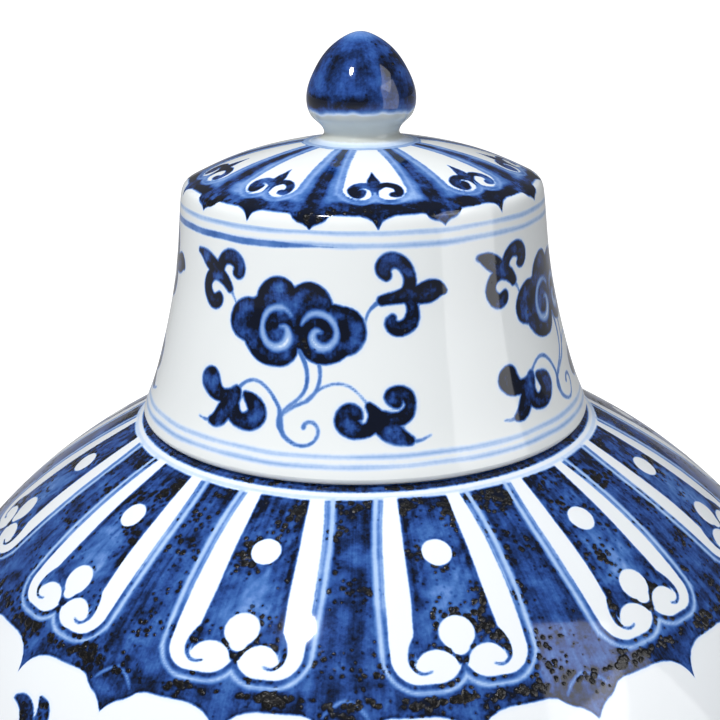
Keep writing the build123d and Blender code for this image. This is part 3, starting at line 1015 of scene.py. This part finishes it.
def painted_porcelain(name, glaze, blotch, brushed, dilution, bleed=1.0, crystals=0.0):
    """Glazed porcelain painted in cobalt: hard-fired and glossy, the blue seen through glaze.

    The eye gets soft wet edges, mottled washes that show the brush's path, blue-black crystals
    of metal heaped where the pigment lay thick, with grey-brown flecks that are partly their own
    colour and partly painted sheen, and a faintly uneven glassy skin over all.
    Pattern sizes: mottle 5 mm, brush streaks 1.6 mm across, crystals 1.6 mm in clusters
    8 mm across. The pigment's grain is 0.2 mm or finer, and is drawn at 0.7 mm so that it shows.
    """
    material, tree, shader = new_material(name, 0.06)
    place = add(tree, "ShaderNodeTexCoord", out=3)
    brush = add(tree, "ShaderNodeAttribute", out=1, attribute_name="brush")
    keep = add(tree, "ShaderNodeAttribute", out=1, attribute_name="keep")
    flow = add(tree, "ShaderNodeAttribute", out=1, attribute_name="flow")
    wash, pale, line = add(tree, "ShaderNodeSeparateXYZ", brush, out=None)
    white, spots, tone = add(tree, "ShaderNodeSeparateXYZ", keep, out=None)

    wobble = add(tree, NOISE, place, None, per(0.9), 3.0, 0.55)
    mottle = add(tree, NOISE, place, None, per(5.0), 4.0, 0.56)
    grain = add(tree, NOISE, place, None, per(0.7), 2.0, 0.5)
    streak = add(tree, NOISE, flow, None, per(1.6), 3.0, 0.55)
    jitter = 0.30 * HALF
    ragged = add(tree, MATH, wobble, jitter, -jitter / 2, operation="MULTIPLY_ADD")

    # Strength of the wash: the tone laid down, varied by pooling, the brush's path and grain
    strength = add(tree, MATH, mottle, blotch, 0.97 - blotch / 2, operation="MULTIPLY_ADD")
    for pattern, amount in ((streak, brushed), (grain, 0.22)):
        centred = add(tree, MATH, pattern, amount, -amount / 2, operation="MULTIPLY_ADD")
        strength = add(tree, MATH, strength, centred, operation="ADD")
    depth = add(tree, MATH, tone, strength, operation="MULTIPLY")
    rim = add(tree, RANGE, wash, 0.5, 0.5 + 1.0 * HALF, 0.12, 0.0, interpolation_type="LINEAR")
    depth = add(tree, MATH, depth, rim, operation="ADD")
    depth = add(tree, MATH, depth, within(tree, wash, ragged, 0.42 * bleed), operation="MULTIPLY")

    # Diluted lines over the wash, drawn lines, and the faint seep of blue beside each wash
    dilute = add(tree, MATH, mottle, 0.16, dilution - 0.08, operation="MULTIPLY_ADD")
    depth = add(tree, MIX, within(tree, pale, ragged, 0.60), None, depth, dilute)
    loaded = add(tree, MATH, mottle, 0.55, 0.30, operation="MULTIPLY_ADD")
    loaded = add(tree, MATH, loaded, within(tree, line, ragged, 0.34), operation="MULTIPLY")
    depth = add(tree, MATH, depth, loaded, operation="MAXIMUM")
    seep = add(tree, RANGE, wash, 0.5 - 1.1 * HALF, 0.5, 0.0, 0.06)
    depth = add(tree, MATH, depth, seep, operation="MAXIMUM")
    reserve = add(tree, MATH, 1.0, within(tree, white, ragged, 0.30), operation="SUBTRACT")
    depth = add(tree, MATH, depth, reserve, operation="MULTIPLY")

    # Crystals heaped where the pigment is thick: round blobs that grow and join in clusters
    cluster = add(tree, NOISE, place, None, per(8.0), 2.0, 0.5)
    blobs = add(tree, "ShaderNodeTexVoronoi", place, None, per(1.6), 0.0)
    crowd = add(tree, MATH, spots, 0.50, crystals - 0.92, operation="MULTIPLY_ADD")
    crowd = add(tree, MATH, cluster, 2.10, crowd, operation="MULTIPLY_ADD")
    uneven = add(tree, MATH, wobble, 0.50, -0.25, operation="MULTIPLY_ADD")
    crowd = add(tree, MATH, crowd, uneven, operation="ADD")
    swell = add(tree, MATH, crowd, blobs, operation="SUBTRACT")
    thick = add(tree, RANGE, depth, 0.34, 0.50)
    heaped = add(tree, RANGE, swell, 0.0, 0.07)
    heaped = add(tree, MATH, heaped, thick, operation="MULTIPLY")
    mound = add(tree, RANGE, swell, 0.0, 0.30)
    mound = add(tree, MATH, mound, heaped, operation="MULTIPLY")
    scorch = add(tree, RANGE, swell, -0.22, 0.02, 0.0, 0.16)
    scorch = add(tree, MATH, scorch, thick, operation="MULTIPLY")
    depth = add(tree, MATH, depth, scorch, operation="ADD")

    colours = tree.nodes.new("ShaderNodeValToRGB")
    tree.links.new(depth, colours.inputs[0])
    stops = colours.color_ramp.elements
    stops[0].color = linear(glaze)
    stops.remove(stops[-1])
    for position, shade in COBALT:
        stops.new(position).color = linear(shade)
    # Colour of the crystals, flecked by the grain: the near-black is their own colour, and the dark
    # grey-brown flecks are partly their own colour and partly painted sheen of their metal
    flecks_and_painted_sheen = add(tree, RANGE, grain, 0.52, 0.68)
    metal = add(tree, MIX, flecks_and_painted_sheen, *SKIPPED, linear("#08090D"), linear("#26231F"), **COLOURS)
    skin = add(tree, MIX, heaped, *SKIPPED, colours.outputs[0], metal, **COLOURS)
    dull = add(tree, MATH, heaped, 0.18, 0.06, operation="MULTIPLY_ADD")
    tree.links.new(skin, shader.inputs["Base Color"])
    tree.links.new(dull, shader.inputs["Roughness"])

    ripple = add(tree, NOISE, place, None, per(9.0), 2.0, 0.5)
    pimple = add(tree, MATH, grain, 0.9, 1.1, operation="MULTIPLY_ADD")
    pimple = add(tree, MATH, mound, pimple, operation="MULTIPLY")
    relief = add(tree, MATH, ripple, 0.30, pimple, operation="MULTIPLY_ADD")
    bump = add(tree, "ShaderNodeBump", 0.7, 0.18 * MM, None, relief)
    tree.links.new(bump, shader.inputs["Normal"])
    return material


def plain_porcelain(name, bare_below):
    """Clear-glazed white porcelain, wiped back to the biscuit under a height in mm.

    The eye gets a cool glossy white with a slow ripple, and a dry warm band where the foot
    was wiped so that it wouldn't stick in the kiln. Ripple 9 mm, clay speckle 0.9 mm.
    """
    material, tree, shader = new_material(name, 0.06)
    place = add(tree, "ShaderNodeTexCoord", out=3)
    height = add(tree, "ShaderNodeSeparateXYZ", place, out=2)
    ripple = add(tree, NOISE, place, None, per(9.0), 2.0, 0.5)
    speckle = add(tree, NOISE, place, None, per(0.9), 4.0, 0.6)
    uneven = add(tree, MATH, ripple, -1.2 * MM, height, operation="MULTIPLY_ADD")
    low, high = (bare_below - 0.9) * MM, (bare_below - 0.4) * MM
    glazed = add(tree, RANGE, uneven, low, high, interpolation_type="SMOOTHSTEP")
    clay = add(tree, MIX, speckle, *SKIPPED, linear("#D9CDBC"), linear("#BFA98D"), **COLOURS)
    cool = add(tree, MIX, ripple, *SKIPPED, linear("#E6ECEE"), linear("#EEF2F4"), **COLOURS)
    skin = add(tree, MIX, glazed, *SKIPPED, clay, cool, **COLOURS)
    dull = add(tree, RANGE, glazed, 0.0, 1.0, 0.70, 0.06)
    tree.links.new(skin, shader.inputs["Base Color"])
    tree.links.new(dull, shader.inputs["Roughness"])
    bump = add(tree, "ShaderNodeBump", 0.4, 0.10 * MM, None, ripple)
    tree.links.new(bump, shader.inputs["Normal"])
    return material


def biscuit_porcelain(name):
    """Unglazed porcelain biscuit, turned on the wheel: warm, dry and matt.

    The eye gets chalky off-white with cloudy warm iron stain and fine turning lines round it.
    Cloud 6 mm, speckle 0.9 mm, turning lines 0.8 mm apart.
    """
    material, tree, shader = new_material(name, 0.72)
    place = add(tree, "ShaderNodeTexCoord", out=3)
    cloud = add(tree, NOISE, place, None, per(6.0), 5.0, 0.6)
    tint = add(tree, MIX, cloud, *SKIPPED, linear("#DFD4C4"), linear("#C4AE93"), **COLOURS)
    tree.links.new(tint, shader.inputs["Base Color"])
    lines = add(
        tree, "ShaderNodeTexWave", place, per(0.8) / 20, 1.5, 2.0,
        out=1, wave_type="BANDS", bands_direction="Z",
    )
    bump = add(tree, "ShaderNodeBump", 0.5, 0.08 * MM, None, lines)
    tree.links.new(bump, shader.inputs["Normal"])
    return material


# ---------------------------------------------------------------- assembly


def place_piece(piece, material, body, node):
    """Give a piece its material and body, and let it stand for its CAD node."""
    piece.data.materials.append(material)
    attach(piece, body)
    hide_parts(node)


def height_at(radius):
    """Height of the jar's outside at a radius above its widest point."""
    widest = int(np.argmax(jar_line[:, 0]))
    return float(np.interp(radius, jar_line[:widest, 0], jar_line[:widest, 1]))


jar_glaze = painted_porcelain(
    "jar porcelain with cobalt under clear glaze", "#EAEEF1", 0.90, 0.45, 0.27, crystals=-0.10
)
lid_glaze = painted_porcelain(
    "lid porcelain with cobalt under clear glaze", "#EAEEEE", 1.30, 0.35, 0.34,
    bleed=1.3, crystals=-0.46,
)
bud_glaze = painted_porcelain(
    "bud porcelain with cobalt wash", "#CDD2CC", 0.80, 0.25, 0.20, bleed=2.2, crystals=-0.40
)
plain_glaze = plain_porcelain("clear glazed porcelain", -50.0)
foot_glaze = plain_porcelain("clear glazed porcelain, wiped bare at the foot", 3.0)
bare_clay = biscuit_porcelain("porcelain biscuit, turned and unglazed")

LAPPET_SPLIT, FIELD_SPLIT = height_at(82.0), height_at(104.6)
# Each stretch: name, top, bottom, spacing of its rows outside and inside in mm, columns,
# and brushwork. The first word of the name is also that of the CAD node it stands for.
SHOULDER, BODY = shoulder_brushwork, body_brushwork
SECTIONS = [
    ("shoulder_lappet_tops", seat_height - 0.001, LAPPET_SPLIT, (0.56, 7.0), 1300, SHOULDER),
    ("shoulder_lappet_feet", LAPPET_SPLIT, FIELD_SPLIT, (0.47, 7.0), 1300, SHOULDER),
    ("shoulder_lower", FIELD_SPLIT, shoulder_bottom, (0.75, 8.0), 1300, SHOULDER),
    ("belly", shoulder_bottom, base_top, (1.0, 8.0), 820, BODY),
    ("base", base_top, foot_top, (1.0, 8.0), 720, BODY),
]
for name, *shape in SECTIONS:
    node = name.split("_")[0] + "_section"
    place_piece(section(name, *shape), jar_glaze, "jar", node)
place_piece(foot(), foot_glaze, "jar", "foot_ring")
place_piece(neck(), plain_glaze, "jar", "neck_collar")

for piece in lid_pieces():
    place_piece(piece, lid_glaze, "lid", "lid_bell")
place_piece(locating_collar(), bare_clay, "lid", "lid_locating_collar")
place_piece(finial(), bud_glaze, "lid", "bud_finial")


# ---------------------------------------------------------------- floor, light and camera


def floor():
    """A wide flat white floor under the jar, a little brighter than the light it gets."""
    mesh = bpy.data.meshes.new("floor")
    far, low = 30.0, -0.0005
    corners = [(-far, -far, low), (far, -far, low), (far, far, low), (-far, far, low)]
    mesh.from_pydata(corners, [], [(0, 1, 2, 3)])
    made = bpy.data.objects.new("floor", mesh)
    bpy.context.scene.collection.objects.link(made)
    material, tree, shader = new_material("white studio paper", 0.9)
    shader.inputs["Base Color"].default_value = linear("#D9D9D9")
    shader.inputs["Specular IOR Level"].default_value = 0.0
    seen = add(tree, "ShaderNodeLightPath")
    lit = add(tree, RANGE, seen, 0.0, 1.0, 0.0, 0.90)
    shader.inputs["Emission Color"].default_value = (1, 1, 1, 1)
    tree.links.new(lit, shader.inputs["Emission Strength"])
    mesh.materials.append(material)


def lamp(name, toward, distance, size, power, shape="RECTANGLE", roll=0.0, glossy=True):
    """A flat lamp, distance metres from the lid in a direction, facing the lid.

    A glossy one is seen in the glaze. Only the key isn't, as if behind fine scrim.
    """
    light = bpy.data.lights.new(name, "AREA")
    light.shape = shape
    light.size = size[0]
    light.size_y = size[1]
    light.energy = power
    made = bpy.data.objects.new(name, light)
    bpy.context.scene.collection.objects.link(made)
    direction = Vector(toward).normalized()
    made.location = LOOK_AT + direction * distance
    facing = direction.to_track_quat("Z", "Y") @ Quaternion((0, 0, 1), math.radians(roll))
    made.rotation_euler = facing.to_euler()
    made.visible_camera = False
    made.visible_glossy = glossy
    return made


def shine(name, toward, distance, size, radiance, roll=0.0):
    """A panel that shows in the glaze but adds next to nothing to the even light."""
    made = lamp(name, toward, distance, size, radiance * math.pi * size[0] * size[1], roll=roll)
    made.visible_diffuse = False


LOOK_AT = Vector((0.0, 0.0, LID_LINE * MM))
floor()
lamp("key", (-0.16, -0.50, 0.83), 2.0, (1.20, 1.20), 26.0, glossy=False)
shine("softbox", (0.895, -0.42, 0.14), 0.90, (0.62, 0.95), 1.9)
shine("overhead panel", (0.72, -0.33, 0.60), 0.82, (0.27, 0.40), 2.4, roll=-42)
lamp("round lamp", (-0.088, -0.156, 0.286), 0.338, (0.040, 0.040), 0.30, "DISK")

# Even light all round, of which the glaze mirrors only a little, as in a darkened studio.
# The backdrop that the camera sees past the floor is as white as the floor.
world = bpy.data.worlds.new("studio")
world.use_nodes = True
sky = world.node_tree
seen, mirrored = (add(sky, "ShaderNodeLightPath", out=number) for number in (0, 3))
strength = add(sky, RANGE, mirrored, 0.0, 1.0, 0.45, 0.14)
strength = add(sky, MATH, seen, 0.55, strength, operation="MULTIPLY_ADD")
sky.links.new(strength, sky.nodes["Background"].inputs[1])
sky.nodes["Background"].inputs[0].default_value = linear("#FBFCFF")
bpy.context.scene.world = world
bpy.context.scene.view_settings.view_transform = "Standard"

ELEVATION, ROLL, DISTANCE = math.radians(18.52), math.radians(0.74), 0.3575
camera = bpy.data.cameras.new("camera")
camera.lens = 70.0
camera.sensor_width = 36.0
camera.shift_x = -0.0068
camera.shift_y = 0.0272
camera.clip_start = 0.01
viewer = bpy.data.objects.new("camera", camera)
bpy.context.scene.collection.objects.link(viewer)
back = Vector((0, -math.cos(ELEVATION), math.sin(ELEVATION)))
side = Vector((1, 0, 0))
above = back.cross(side)
right = side * math.cos(ROLL) - above * math.sin(ROLL)
up = above * math.cos(ROLL) + side * math.sin(ROLL)
viewer.matrix_world = Matrix.Translation(LOOK_AT + back * DISTANCE) @ Matrix(
    (right, up, back)
).transposed().to_4x4()
bpy.context.scene.camera = viewer
